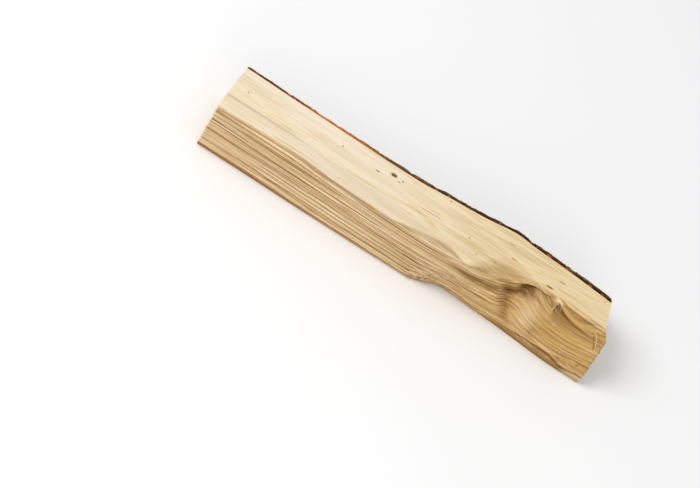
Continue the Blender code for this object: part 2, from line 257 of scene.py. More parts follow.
# The drying cracks in the sawn ends, as (angle about the pith, from and to radius, half width).
END_CHECKS = (
    (0.35, 0.004, 0.050, 0.0006), (0.92, 0.010, 0.066, 0.0004), (1.42, 0.006, 0.038, 0.0005),
    (0.62, 0.042, 0.076, 0.0004), (1.15, 0.030, 0.060, 0.0003), (0.12, 0.030, 0.074, 0.0004),
)

# Small marks on the top face, each as (x, y) and its half sizes: dark ones, then orange ones.
DARK_MARKS = (
    (-0.1835, 0.0034, 0.0009, 0.0006), (-0.0866, 0.0103, 0.0009, 0.0008),
    (-0.0485, 0.0074, 0.0024, 0.0007), (-0.0340, 0.0144, 0.0035, 0.0024),
    (-0.0270, 0.0100, 0.0016, 0.0004), (-0.0245, 0.0125, 0.0006, 0.0014),
    (0.0523, -0.0010, 0.0010, 0.0006), (0.0646, -0.0132, 0.0010, 0.0005),
    (0.0829, -0.0091, 0.0011, 0.0006), (0.1365, 0.0004, 0.0042, 0.0010),
    (0.0125, -0.0012, 0.0130, 0.0003), (0.1450, 0.0130, 0.0040, 0.0004),
)
ORANGE_MARKS = (
    (0.0890, 0.0202, 0.0040, 0.0006), (0.0965, 0.0060, 0.0030, 0.0009),
    (0.0220, 0.0242, 0.0014, 0.0008),
    (0.1870, 0.0210, 0.0010, 0.0008),
)
HOLE = {"x": -0.0340, "y": 0.0144, "half_x": 0.0026, "half_y": 0.0017, "depth": 0.0030}

# How finely the wood's section is divided, by the side's last corner.
SIDE_STEPS = {
    "crease": 52, "arris": 28, "shoulder": 34, "belly": 56, "foot": 50, "keel": 14,
    "base": 34, "top": 12,
}
FRONT_SIDES = ("shoulder", "belly", "foot")
PLAIN_STEP = 0.0016
KNOT_STEP = 0.0011
KNOT_SPAN = (0.030, 0.200)
CAP_RINGS = 20
CUT_PASSES = 3


def smoothstep(low, high, value):
    t = np.clip((value - low) / (high - low), 0.0, 1.0)
    return t * t * (3 - 2 * t)


def bell(distance, half):
    """A smooth hump: 1 in the middle and near 0 at twice the half width."""
    return np.exp(-((distance / half) ** 2))


def mix(a, b, share):
    return a + (b - a) * share


def along(stations, x):
    """The places at x of a smooth curve through the stations, held level past its ends."""
    xs, vs = np.array(stations).T
    x = np.clip(x, xs[0], xs[-1])
    i = np.clip(np.searchsorted(xs, x) - 1, 0, len(xs) - 2)
    before = np.maximum(i - 1, 0)
    after = np.minimum(i + 2, len(xs) - 1)
    span = xs[i + 1] - xs[i]
    slope0 = (vs[i + 1] - vs[before]) / (xs[i + 1] - xs[before])
    slope1 = (vs[after] - vs[i]) / (xs[after] - xs[i])
    t = (x - xs[i]) / span
    return (
        vs[i] * (1 + 2 * t) * (1 - t) ** 2
        + slope0 * span * t * (1 - t) ** 2
        + vs[i + 1] * t * t * (3 - 2 * t)
        + slope1 * span * t * t * (t - 1)
    )


def ripple(seed, *coordinates):
    """Smooth random values from -1 to 1, which change over about one unit of each coordinate."""
    point = np.stack(np.broadcast_arrays(*coordinates), -1)
    cell = np.floor(point).astype(np.int64)
    share = point - cell
    share = share * share * (3 - 2 * share)
    total = 0.0
    for corner in itertools.product((0, 1), repeat=point.shape[-1]):
        key = np.full(cell.shape[:-1], seed * 7919 + 12345, np.int64)
        weight = 1.0
        for axis, side in enumerate(corner):
            key = (key * 1103515245 + (cell[..., axis] + side) * 2654435761) % 4294967291
            key ^= key >> 13
            weight = weight * (share[..., axis] if side else 1 - share[..., axis])
        total = total + weight * ((key * 48271) % 65521 / 32760.0 - 1.0)
    return total


def on_arc(radius, angle):
    return PITH_Y + radius * np.cos(angle), PITH_Z + radius * np.sin(angle)


def wood_radius(x, angle):
    """The trunk's radius under its bark. The swelling at the knot fades round to the back."""
    return WOOD_RADIUS + along(RADIUS_GAIN, x) * smoothstep(-0.3, 0.7, angle)


def rim_angles(x, outside_low, outside_high):
    """Where a skin so far outside the wood meets the flat base and the top face."""
    low = np.arcsin(-PITH_Z / (WOOD_RADIUS + outside_low))
    edge = WOOD_RADIUS + along(RADIUS_GAIN, x) + outside_high
    return low, np.arcsin((TOP_HEIGHT - PITH_Z) / edge)


def corners(x):
    """The wood section's named corners at x, as (y, z), from the top's bark edge round."""
    low, high = rim_angles(x, 0.0, 0.0)
    top = on_arc(wood_radius(x, high), high)
    arris = along(ARRIS_Y, x), np.full_like(x, TOP_HEIGHT + ARRIS_RISE)
    crease = mix(arris[0], top[0], CREASE_SHARE), mix(arris[1], top[1], CREASE_SHARE)
    return {
        "top": top,
        "crease": crease,
        "arris": arris,
        "shoulder": (along(SHOULDER_Y, x), along(SHOULDER_Z, x)),
        "belly": (along(BELLY_Y, x), np.full_like(x, BELLY_Z)),
        "foot": (along(FOOT_Y, x), along(FOOT_Z, x)),
        "keel": (along(KEEL_Y, x), np.zeros_like(x)),
        "base": on_arc(WOOD_RADIUS, np.full_like(x, low)),
    }


def ring_radius(x, y, z):
    """The distance from the pith, followed along the grain, which bends round the knot."""
    radius = np.hypot(y - PITH_Y, z - PITH_Z)
    angle = np.arctan2(z - PITH_Z, y - PITH_Y)
    held = smoothstep(*SWEEP_RISE, radius) * (1 - smoothstep(*SWEEP_FALL, radius))
    near_front = smoothstep(0.7, 1.15, angle)
    push = along(SWEEP, x) * held
    push = push + LIFT["height"] * bell(x - LIFT["x"], LIFT["half_x"]) * bell(
        radius - LIFT["ring"], LIFT["half_ring"]
    )
    wander = 0.0006 * ripple(3, x * 9, radius * 40, angle * 2)
    wander = wander + 0.00025 * ripple(4, x * 40, radius * 160, angle * 6)
    return radius + push * near_front + wander


def ring_steps(radius):
    """The height of the split's steps: it jumps out at each ring and falls away to the next."""
    edges = np.array([ring[0] for ring in RINGS])
    strengths = np.array([ring[1] for ring in RINGS])
    i = np.clip(np.searchsorted(edges, radius) - 1, 0, len(edges) - 2)
    t = np.clip((radius - edges[i]) / (edges[i + 1] - edges[i]), 0.0, 1.0)
    jump = smoothstep(0.0, RING_EDGE, radius - edges[i])
    before = -0.5 * strengths[np.maximum(i - 1, 0)]
    return RING_STEP * mix(before, strengths[i] * (0.5 - t), jump)


def valley(x, z):
    """1 in the crease of the valley under the arris, and 0 outside the valley."""
    above = z - along(VALLEY_Z, x)
    slope = np.where(above > 0, above / VALLEY_ABOVE, -above / VALLEY_BELOW)
    return 1 - smoothstep(0.0, 1.0, slope)


def dip(x, y):
    """How far the top face has dipped, from 0 at the lip above the knot to 1 at the arris."""
    lip = along(LIP_Y, x)
    inside = lip - y
    slope = inside / np.maximum(lip - along(ARRIS_Y, x), 0.001)
    return 0.25 * smoothstep(0.0, LIP_STEP, inside) + 0.75 * smoothstep(0.0, 1.0, slope)


def mound(shape, x, z, slant=0.0):
    """1 at the middle of one of the knot's hollows or swellings, and near 0 outside it."""
    centre = shape["x"] + slant * (z - shape["z"])
    return bell(x - centre, shape["half_x"]) * bell(z - shape["z"], shape["half_z"])


def recess(x, z):
    """1 in the recess past the knot, deepest under its upper edge, and 0 outside it."""
    step = smoothstep(RECESS_START - STEP_WIDTH, RECESS_START + STEP_WIDTH, x)
    fade = 1 - smoothstep(RECESS_START, RECESS_END, x)
    below = along(RECESS_TOP, x) - z
    profile = smoothstep(-RECESS_LIP, RECESS_LIP, below)
    return step * fade * profile * (1 - smoothstep(0.1, 1.0, below / along(RECESS_WIDTH, x)))


def knot_relief(x, z):
    """How far the front face stands out where the grain runs round the knot."""
    height = -along(VALLEY_DEPTH, x) * valley(x, z)
    height = height + TROUGH["height"] * mound(TROUGH, x, z, TROUGH_SLANT)
    height = height + LOBE["height"] * mound(LOBE, x, z)
    return height - RECESS_DEPTH * recess(x, z)


def fibre_relief(x, ring, angle):
    """The fine ridges that torn fibres leave on a split face."""
    coarse = ripple(11, x * 14, ring * 330, angle * 6)
    torn = 1 - 2 * np.abs(ripple(12, x * 26, ring * 620, angle * 12))
    fine = ripple(13, x * 55, ring * 1150, angle * 25)
    rough = 0.7 + 0.6 * ripple(14, x * 9, ring * 60)
    return (0.00022 * coarse + 0.00016 * torn + 0.00008 * fine) * rough


def left_cut(y, z):
    return LEFT_END + LEFT_LEAN * z


def right_cut(y, z):
    step = CUT_STEP * smoothstep(*CUT_STEP_Y, y)
    return RIGHT_END + RIGHT_SKEW * (y - PITH_Y) + RIGHT_LEAN * z - step


def split_side(x, start, end, share):
    """Points, as (y, z), on one of the split faces or on the base."""
    named = corners(x)
    y = mix(named[start][0], named[end][0], share)
    z = mix(named[start][1], named[end][1], share)
    ring = ring_radius(x, y, z)
    angle = np.arctan2(z - PITH_Z, y - PITH_Y)
    fibres = fibre_relief(x, ring, angle)
    if end in FRONT_SIDES:
        if end == "shoulder":
            z = z - along(LIP_DEPTH, x) * (1 - share) ** 2
        edge = smoothstep(0.0, 0.12, share) if end == "shoulder" else 1.0
        fade = 1 - smoothstep(0.3, 1.0, share) if end == "foot" else 1.0
        y = y - (knot_relief(x, z) * fade + ring_steps(ring)) * edge - fibres
    elif end == "keel":
        y = y - fibres
    elif end == "base":
        z = z + (0.0003 + fibres) * smoothstep(0.0, 0.1, share) * (1 - smoothstep(0.9, 1.0, share))
        z = np.maximum(z, 0.0)
    else:
        sag = CREASE_DROP * bell(share - (1.0 if end == "crease" else 0.0), 0.25)
        rim = smoothstep(0.0, 0.06, share) if end == "crease" else 1.0
        z = z - sag + (fibres * 0.5 + 0.25 * ring_steps(ring)) * rim
        hole = bell(x - HOLE["x"], HOLE["half_x"]) * bell(y - HOLE["y"], HOLE["half_y"])
        z = z - HOLE["depth"] * hole - along(LIP_DEPTH, x) * dip(x, y)
    return y, z


def under_bark(x, share):
    """Points, as (y, z), of the wood's round side, which the bark covers."""
    low, high = rim_angles(x, 0.0, 0.0)
    angle = mix(low, high, share)
    y, z = on_arc(wood_radius(x, angle), angle)
    return y, np.maximum(z, 0.0)


def stations():
    """Shares of the length for the sections, closer together at the knot."""
    x = LEFT_END
    shares = []
    while x < RIGHT_END - PLAIN_STEP / 2:
        shares.append((x - LEFT_END) / LENGTH)
        x += KNOT_STEP if KNOT_SPAN[0] < x < KNOT_SPAN[1] else PLAIN_STEP
    return np.array(shares + [1.0])


def between_cuts(shares, skin):
    """Runs skin(x), which gives (y, z), at places that lie so far from one saw cut to the other."""
    x = LEFT_END + shares * LENGTH
    for _ in range(CUT_PASSES):
        y, z = skin(x)
        left = left_cut(y, z)
        x = left + (right_cut(y, z) - left) * shares
    return np.stack(np.broadcast_arrays(x, y, z), -1)


@functools.cache
def wood_grid():
    """The wood's skin as a grid of points, and the name of the side that each column is on."""
    names = list(corners(np.zeros(1)))
    shares = stations()[:, None]
    blocks, sides = [], []
    for start, end in zip(names, names[1:] + names[:1]):
        steps = SIDE_STEPS[end]
        share = np.arange(steps)[None, :] / steps
        full = np.broadcast_to(shares, (len(shares), steps))
        if end == "top":
            blocks.append(between_cuts(full, lambda x: under_bark(x, share)))
        else:
            blocks.append(
                between_cuts(full, lambda x: split_side(x, start, end, share))
            )
        sides += [end] * steps
    grid = np.concatenate(blocks, 1)
    torn = np.isin(sides, FRONT_SIDES + ("keel",))
    for row, outward in ((0, -0.0005), (-1, 0.0011)):
        y, z = grid[row, :, 1], grid[row, :, 2]
        ragged = ripple(51, y * 160, z * 330) + 0.5 * ripple(52, y * 500, z * 900)
        grid[row, :, 0] += outward * torn * (ragged - 0.3)
    return grid, np.array(sides)


def cap_rows(places, cut):
    """Rings of points over a sawn end, from its outline in to its middle."""
    middle = places.mean(0)
    rows = []
    for n in range(1, CAP_RINGS):
        inner = mix(places, middle, (n / CAP_RINGS) ** 1.1)
        inner[:, 0] = cut(inner[:, 1], inner[:, 2])
        rows.append(inner)
    hub = middle.copy()
    hub[0] = cut(hub[1], hub[2])
    return rows, hub


def wrap_faces(start, rows, columns):
    """Quads between rings of points that follow each other in the list."""
    i = start + np.arange(rows - 1)[:, None] * columns + np.arange(columns)[None, :]
    j = start + np.arange(rows - 1)[:, None] * columns + (np.arange(columns)[None, :] + 1) % columns
    return np.stack([i, j, j + columns, i + columns], -1).reshape(-1, 4)


def link_mesh(name, points, faces):
    """A smooth-shaded object of these points and faces, moved from the trunk to the log's frame."""
    mesh = bpy.data.meshes.new(name)
    placed = np.asarray(points) - (CENTRE_X, CENTRE_Y, 0.0)
    mesh.from_pydata(placed.tolist(), [], [tuple(int(v) for v in face) for face in faces])
    mesh.shade_smooth()
    mesh.set_sharp_from_angle(angle=math.radians(40))
    thing = bpy.data.objects.new(name, mesh)
    bpy.context.scene.collection.objects.link(thing)
    return thing


def add_values(thing, name, values):
    """Stores one number, or one vector, for each of the mesh's points."""
    values = np.asarray(values, np.float32)
    kind, field = ("FLOAT", "value") if values.ndim == 1 else ("FLOAT_VECTOR", "vector")
    attribute = thing.data.attributes.new(name, kind, "POINT")
    attribute.data.foreach_set(field, values.ravel())


def sapwood(points, sides):
    """How pale the wood is: 1 in the sapwood under the bark and 0 in the heartwood."""
    x, y, z = points.T
    radius = np.hypot(y - PITH_Y, z - PITH_Z)
    waver = 0.0006 * ripple(21, x * 30, y * 200, z * 200)
    inside = smoothstep(0.0535, 0.0560, radius + waver)
    edge = along(HEART_EDGE, x)
    front = smoothstep(edge - 0.0045, edge + 0.0010, radius + waver)
    fringe = 0.0004 * ripple(22, x * 50, y * 90) + 0.0003 * ripple(23, x * 150, y * 200)
    bare = y - along(ARRIS_Y, x) - along(HEART_WEDGE, x) + fringe
    bare = bare + 0.0012 * (1 - smoothstep(-0.060, 0.000, x))
    top = mix(0.10, 1.0, smoothstep(-0.0024, 0.0012, bare))
    dipped = dip(x, y) * smoothstep(0.056, 0.080, x) * (1 - smoothstep(0.150, 0.157, x))
    top = top * (1 - 0.22 * smoothstep(0.05, 0.30, dipped)) * (1 - 0.72 * smoothstep(0.25, 0.80, dipped))
    on_top = np.isin(sides, ("crease", "arris"))
    on_front = np.isin(sides, FRONT_SIDES + ("keel",))
    return np.where(on_top, top, np.where(on_front, front, inside))


def streak(shape, x, place):
    """1 along the middle of a streak that runs along the log, and 0 beside it."""
    return along(shape["strength"], x) * bell(place - along(shape["place"], x), along(shape["half"], x))


def shade_and_stain_masks(points, sides):
    """How far each point is browned by staining and painted shade, yellowed by streaks and by the lip's painted
    shadow, reddened, lightened where highlights are painted and along the lower edge, flushed, and greyed by
    painted shade in the top face's crease.
    """
    x, y, z = points.T
    on_front = np.isin(sides, FRONT_SIDES + ("keel",))
    on_top = np.isin(sides, ("crease", "arris"))
    foot = along(FOOT_Z, x)
    orange = along(FOOT_ORANGE, x) * (1 - smoothstep(0.0036, 0.0068, z))
    strip = smoothstep(0.108, 0.130, x)
    strip_dark = 0.92 * strip * bell(z - foot - 0.0002, 0.0009)
    strip_bright = 0.35 * strip * bell(z - foot - 0.0022, 0.0007)
    strip_bright = np.maximum(strip_bright, 0.5 * smoothstep(0.184, 0.192, x) * (sides == "keel"))
    crease = z - along(VALLEY_Z, x)
    # Painted shade, with some staining, in the valley under the arris.
    valley_stain_and_shade = along(VALLEY_STAIN_AND_SHADE, x) * bell(crease - 0.0012, 0.0032)
    # Painted shade in the knot's deep pocket.
    pocket = mound(POCKET, x, z)
    tail = 1 - (1 - streak(TAILS[0], x, z)) * (1 - streak(TAILS[1], x, z))
    # Painted shade: a thin dark line in the valley's crease.
    line = along(CREASE_SHADE_LINE, x) * bell(crease, 0.0006)
    # Painted shade, with some staining, in the slanted trough.
    trough = 0.65 * mound(TROUGH | {"half_x": 0.0060, "half_z": 0.018}, x, z, TROUGH_SLANT)
    # A painted shadow under the step at the top of the recess, and a painted highlight on its edge.
    ledge_shadow = 0.60 * smoothstep(0.151, 0.158, x) * bell(z - TOP_HEIGHT + 0.0024, 0.0006)
    ledge_highlight = 0.5 * smoothstep(0.153, 0.160, x) * bell(z - TOP_HEIGHT + 0.0008, 0.0008)
    # Painted shade in the recess, deepest under its upper edge; the dark marks and cracks on the front are
    # added to it.
    below = along(RECESS_TOP, x) - z
    shaded = 1 - 0.35 * smoothstep(0.20, 0.45, below / along(RECESS_WIDTH, x))
    shaded = shaded * (1 - smoothstep(0.45, 1.1, below / along(RECESS_WIDTH, x)))
    recess_shade_and_marks = along(RECESS_STAIN_AND_SHADE, x) * smoothstep(-0.0010, 0.0014, below) * shaded
    for place_x, place_z, half_x, half_z, strength in FRONT_MARKS:
        mark = bell(x - place_x, half_x) * bell(z - place_z, half_z)
        recess_shade_and_marks = np.maximum(recess_shade_and_marks, strength * mark)
    for x0, z0, x1, z1, half, strength in FRONT_CRACKS:
        share = np.clip(((x - x0) * (x1 - x0) + (z - z0) * (z1 - z0)) / ((x1 - x0) ** 2 + (z1 - z0) ** 2), 0, 1)
        away = np.hypot(x - mix(x0, x1, share), z - mix(z0, z1, share))
        recess_shade_and_marks = np.maximum(recess_shade_and_marks, strength * bell(away, half))
    # Painted shade on the keel, the underside that is turned away from the light; less of it near the right
    # end.
    under = (sides == "keel") * smoothstep(0.09, 0.13, x) * mix(0.24, 0.05, smoothstep(0.180, 0.190, x))
    clear = (1 - valley_stain_and_shade) * (1 - line) * (1 - trough) * (1 - recess_shade_and_marks) * (1 - under)
    clear = clear * (1 - pocket) * (1 - tail) * (1 - ledge_shadow) * (1 - strip_dark)
    # A painted shadow: a thin line under the lip's step, added to the yellowed streaks.
    lip = bell(y - along(LIP_Y, x), 0.0006) * smoothstep(0.086, 0.100, x)
    lip = lip * (1 - smoothstep(0.146, 0.156, x))
    yellow_and_lip_shadow = np.maximum(streak(CREASE_STAIN, x, y), 0.8 * lip)
    # Painted highlights on the broken edge, the step's edge and the swelling's lit side, and a lighter line
    # along the lower edge.
    bright = np.maximum(np.maximum(streak(TORN_EDGE_HIGHLIGHT, x, z), strip_bright), ledge_highlight)
    lobe_shine = mound(LOBE | {"x": 0.133, "half_x": 0.010, "half_z": 0.015}, x, z)
    bright = np.maximum(bright, 0.45 * lobe_shine)
    flush = (1 - smoothstep(-0.0150, -0.0105, y)) * (1 - smoothstep(-0.010, 0.030, x))
    flush = flush * mix(0.30, 1.0, smoothstep(-0.150, -0.070, x))
    # Painted shade along the top face's crease at the left.
    crease_shade = bell(y + 0.0110, 0.0013) * (1 - smoothstep(-0.150, -0.080, x))
    return (
        np.where(on_front, 1 - clear, 0.0),
        np.stack([yellow_and_lip_shadow * on_top, orange * on_front, bright * on_front], -1),
        np.stack([flush * on_top, crease_shade * on_top, np.zeros_like(x)], -1),
    )


def build_wood():
    grid, sides = wood_grid()
    rows, columns = grid.shape[:2]
    points = [grid.reshape(-1, 3)]
    faces = [wrap_faces(0, rows, columns)]
    side_of = [np.tile(sides, rows)]
    count = rows * columns
    for end, cut, flip in ((0, left_cut, False), (-1, right_cut, True)):
        inner, hub = cap_rows(grid[end], cut)
        first = 0 if end == 0 else (rows - 1) * columns
        ring = np.arange(first, first + columns)
        for row in inner + [None]:
            after = np.roll(ring, -1)
            if row is None:
                fan = np.stack([ring, after, np.full(columns, count)], -1)
                faces.append(fan[:, ::-1] if not flip else fan)
                points.append(hub[None, :])
                side_of.append(np.array(["end"]))
                count += 1
                break
            inside = np.arange(count, count + columns)
            quads = np.stack([ring, after, np.roll(inside, -1), inside], -1)
            faces.append(quads[:, ::-1] if not flip else quads)
            points.append(row)
            side_of.append(np.full(columns, "end"))
            ring = inside
            count += columns
    points = np.concatenate(points)
    side_of = np.concatenate(side_of)
    thing = link_mesh("log_wood", points, [face for block in faces for face in block])
    x, y, z = points.T
    angle = np.arctan2(z - PITH_Z, y - PITH_Y)
    ring = ring_radius(x, y, z)
    # The first holds staining and painted shade; the second holds colours with painted highlights and a painted
    # shadow.
    stain_and_shade, tints, pale = shade_and_stain_masks(points, side_of)
    sawn = (side_of == "end").astype(float)
    first = np.arange(len(points))
    in_front = np.isin(side_of, FRONT_SIDES)
    # A painted highlight along the front's edge at the left saw cut.
    tints[:, 2] = np.maximum(tints[:, 2], (first < columns) & in_front)
    worn = (first >= (rows - 1) * columns) & (first < rows * columns) & in_front
    stain_and_shade = np.maximum(stain_and_shade, worn * (0.45 + 0.35 * ripple(61, z * 260)))
    add_values(thing, "grain", np.stack([x, ring, angle * WOOD_RADIUS / 2], -1))
    add_values(thing, "zones", np.stack([sapwood(points, side_of), sawn, stain_and_shade], -1))
    add_values(thing, "tints", tints)
    add_values(thing, "pale", pale)
    return thing


SLIVER_STEPS = 7
OUTWARD = np.array((0.0, -0.96, 0.28))
# Where splinters stand on the front, as (x from and to, distance from the pith from and to, how
# many, and the longest length).
SPLINTER_AREAS = (
    (-0.198, -0.060, 0.006, 0.054, 14, 0.034), (-0.060, 0.060, 0.006, 0.054, 14, 0.030),
    (0.060, 0.105, 0.012, 0.040, 8, 0.018), (0.122, 0.150, 0.026, 0.050, 4, 0.012),
    (0.150, 0.196, 0.026, 0.050, 3, 0.014), (0.176, 0.198, 0.010, 0.050, 1, 0.010),
)
# Splinters that stand across the grain, as the (x, z) of both ends, and the half width.
CROSS_SPLINTERS = (
    (0.1888, 0.0537, 0.1960, 0.0496, 0.00040), (0.1952, 0.0507, 0.2004, 0.0398, 0.00045),
    (0.1495, 0.0535, 0.1482, 0.0470, 0.00040), (0.1850, 0.0160, 0.1965, 0.0120, 0.00040),
)


def sliver(line, width, thick):
    """A closed sliver along a line of points, pointed at both ends."""
    steps = len(line)
    aside = np.cross(OUTWARD, line[-1] - line[0])
    aside = aside / np.linalg.norm(aside)
    points = [line[0]]
    for n in range(1, steps - 1):
        full = math.sin(math.pi * n / (steps - 1)) ** 0.6
        for way, reach in ((aside, width), (OUTWARD, thick), (-aside, width), (-OUTWARD, thick)):
            points.append(line[n] + way * reach * full)
    points.append(line[-1])
    last = len(points) - 1
    faces = []
    for i in range(4):
        j = (i + 1) % 4
        faces.append((0, 1 + j, 1 + i))
        faces.append((last, last - 4 + i, last - 4 + j))
        for n in range(steps - 3):
            a = 1 + 4 * n
            faces.append((a + i, a + j, a + j + 4, a + i + 4))
    return np.array(points), faces


def build_splinters():
    grid, sides = wood_grid()
    front = grid[:, np.isin(sides, FRONT_SIDES)]
    rings = ring_radius(*np.moveaxis(front, -1, 0))
    draw = random.Random(5)
    slivers = []

    def on_front(x, ring):
        row = int(np.abs(front[:, front.shape[1] // 2, 0] - x).argmin())
        order = np.argsort(rings[row])
        return np.array([np.interp(ring, rings[row][order], front[row][order][:, k]) for k in range(3)])

    for start, stop, low, high, count, longest in SPLINTER_AREAS:
        for _ in range(count):
            x, ring = draw.uniform(start, stop), draw.uniform(low, high)
            length = draw.uniform(0.35, 1.0) * longest
            way = draw.choice((-1, 1))
            lift = draw.uniform(0.0002, 0.0008)
            width, thick = draw.uniform(0.00020, 0.00045), draw.uniform(0.00012, 0.00022)
            line = []
            for n in range(SLIVER_STEPS):
                share = n / (SLIVER_STEPS - 1)
                place = on_front(x + way * length * (share - 0.5), ring + 0.0004 * share)
                line.append(place + OUTWARD * (lift * share ** 2 - 0.0001))
            slivers.append(sliver(np.array(line), width, thick))
    for x0, z0, x1, z1, width in CROSS_SPLINTERS:
        line = []
        for n in range(SLIVER_STEPS):
            share = n / (SLIVER_STEPS - 1)
            x, z = mix(x0, x1, share), mix(z0, z1, share)
            row = int(np.abs(front[:, front.shape[1] // 2, 0] - x).argmin())
            place = front[row, int(np.abs(front[row, :, 2] - z).argmin())]
            line.append(np.array((x, place[1], z)) + OUTWARD * 0.0003)
        slivers.append(sliver(np.array(line), width, 0.00035))

    points = np.concatenate([block for block, _ in slivers])
    faces = []
    start = 0
    for block, block_faces in slivers:
        faces += [tuple(start + v for v in face) for face in block_faces]
        start += len(block)
    thing = link_mesh("log_splinters", points, faces)
    x, y, z = points.T
    blank = np.zeros_like(x)
    bright = np.array([0.10 * (n % 3 == 0) for n, (block, _) in enumerate(slivers) for _ in block])
    angle = np.arctan2(z - PITH_Z, y - PITH_Y)
    add_values(thing, "grain", np.stack([x, ring_radius(x, y, z), angle * WOOD_RADIUS / 2], -1))
    plain = len(slivers) - len(CROSS_SPLINTERS)
    dull = np.array([0.45 * (n >= plain) for n, (block, _) in enumerate(slivers) for _ in block])
    # Darkened by the staining and painted shade of the places they stand on, and more for the cross splinters.
    browned = 0.3 + 0.5 * shade_and_stain_masks(points, "belly")[0] + dull
    add_values(thing, "zones", np.stack([blank, blank, browned], -1))
    add_values(thing, "tints", np.stack([blank, blank, bright], -1))
    add_values(thing, "pale", np.stack([blank, blank, blank], -1))
    return thing


def plate_height(x, arc):
    """The bark's plates, from 0 in the furrows to 1 on the plates, and a random number for each."""
    place = Vector((x / PLATE_LENGTH, arc / PLATE_WIDTH, 0.0))
    bend = noise.noise_vector(place) * PLATE_BEND + noise.noise_vector(place * 3.7) * PLATE_FRAY
    distances, centres = noise.voronoi(place + bend)
    t = min(1.0, max(0.0, (distances[1] - distances[0] - 0.02) / (FURROW_SHARE - 0.02)))
    rough = noise.noise(Vector((x, arc, 0.0)) * ROUGH_SCALE)
    return t * t * (3 - 2 * t), rough, noise.cell(centres[0] * 3.7)


BARK_STEP = 0.00072
BARK_COLUMNS = 145
BARK_INNER_COLUMNS = 14
BARK_INSIDE = 0.0004
FOOT_SHARE = 0.15
EDGE_ORANGE = (
    (-0.200, 0.15), (-0.145, 0.30), (-0.125, 0.9), (-0.070, 0.9), (-0.045, 0.30), (0.000, 0.10),
    (0.200, 0.0),
)


def bark_skin(shares, share, lift_edge):
    """The bark's outer points, with the plates' height and number at each."""
    info = {}

    def skin(x):
        low, high = rim_angles(x, BARK_THICKNESS, along(BARK_EDGE, x))
        high = high - lift_edge(x) / WOOD_RADIUS
        angle = mix(low, high, share)
        width = along(WORN_SHARE, x)
        worn = smoothstep(0.0, 1.0, (share - 1 + width) / width)
        thickness = mix(BARK_THICKNESS, along(BARK_EDGE, x), worn)
        arc = angle * WOOD_RADIUS
        if info.get("x") is None or np.abs(info["x"] - x).max() > 1e-4:
            flat = [plate_height(a, b) for a, b in zip(x.ravel(), arc.ravel())]
            info["x"] = x
            info["plates"] = np.array(flat).reshape(*x.shape, 3)
        plate, rough, _ = np.moveaxis(info["plates"], -1, 0)
        relief = FURROW_DEPTH * (plate - 1) + BARK_ROUGHNESS * rough
        relief = relief + flakes(x, arc, plate)
        relief = relief * smoothstep(0.0, FOOT_SHARE, share) * mix(1.0, 0.35, worn)
        radius = wood_radius(x, angle) + np.maximum(thickness + relief, 0.0006)
        y, z = on_arc(radius, angle)
        return y, np.maximum(z, 0.0)

    return between_cuts(shares, skin), info["plates"]


def flakes(x, arc, plate):
    """Scales on the plates: their edges lift, and cracks run across them."""
    layers = ripple(31, x * 75, arc * 190) + 0.5 * ripple(32, x * 160, arc * 380)
    scale = np.abs((layers * 1.6) % 1.0 - 0.15)
    cracks = bell(ripple(33, x * 55 + 3 * ripple(34, x * 30, arc * 90), arc * 60), 0.10)
    fine = ripple(35, x * 420, arc * 700)
    return (0.0007 * scale - 0.0009 * cracks) * plate + 0.00018 * fine


def build_bark():
    rows = int(LENGTH / BARK_STEP) + 1
    shares = np.linspace(0.0, 1.0, rows)[:, None]
    share = np.linspace(0.0, 1.0, BARK_COLUMNS)[None, :]
    inner_share = np.linspace(1.0, 0.0, BARK_INNER_COLUMNS)[None, :]

    def ragged(x):
        return 0.0006 + 0.0006 * ripple(41, x * 110) + 0.0005 * ripple(42, x * 320)

    def inside(x):
        low, high = rim_angles(x, 0.0, 0.0)
        angle = mix(low, high - (0.0004 + ragged(x)) / WOOD_RADIUS, inner_share)
        y, z = on_arc(wood_radius(x, angle) - BARK_INSIDE, angle)
        return y, np.maximum(z, 0.0)

    outer, plates = bark_skin(np.broadcast_to(shares, (rows, BARK_COLUMNS)), share, ragged)
    inner = between_cuts(np.broadcast_to(shares, (rows, BARK_INNER_COLUMNS)), inside)
    loop = np.concatenate([outer, inner], 1)
    columns = loop.shape[1]
    faces = [wrap_faces(0, rows, columns)]
    for row, flip in ((0, True), (rows - 1, False)):
        strip = rim_faces(row * columns)
        faces.append(strip[:, ::-1] if flip else strip)
    thing = link_mesh("log_bark", loop.reshape(-1, 3), [face for block in faces for face in block])
    blank = np.zeros((rows, BARK_INNER_COLUMNS))
    height = np.concatenate([plates[..., 0], blank], 1).ravel()
    number = np.concatenate([plates[..., 2], blank], 1).ravel()
    width = along(WORN_SHARE, LEFT_END + shares * LENGTH)
    fresh = 0.97 * smoothstep(0.25, 0.62, (share - 1 + width) / width)
    fresh = fresh * (0.85 + 0.15 * ripple(43, outer[..., 0] * 90, share * 60))
    fresh = np.concatenate([fresh, blank + 1], 1).ravel()
    orange = np.broadcast_to(along(EDGE_ORANGE, LEFT_END + shares * LENGTH), (rows, columns))
    add_values(thing, "bark", np.stack([height, number, fresh], -1))
    add_values(thing, "edge", orange.ravel())
    return thing


def rim_faces(start):
    """Triangles that close one end of the bark, between its outer and its inner columns."""
    faces = []
    inner = start + BARK_COLUMNS + BARK_INNER_COLUMNS - 1
    done = 0
    for i in range(BARK_COLUMNS - 1):
        faces.append((start + i, start + i + 1, inner - done))
        reached = (i + 1) * (BARK_INNER_COLUMNS - 1) // (BARK_COLUMNS - 1)
        for _ in range(reached - done):
            faces.append((inner - done, start + i + 1, inner - done - 1))
            done += 1
    return np.array(faces)


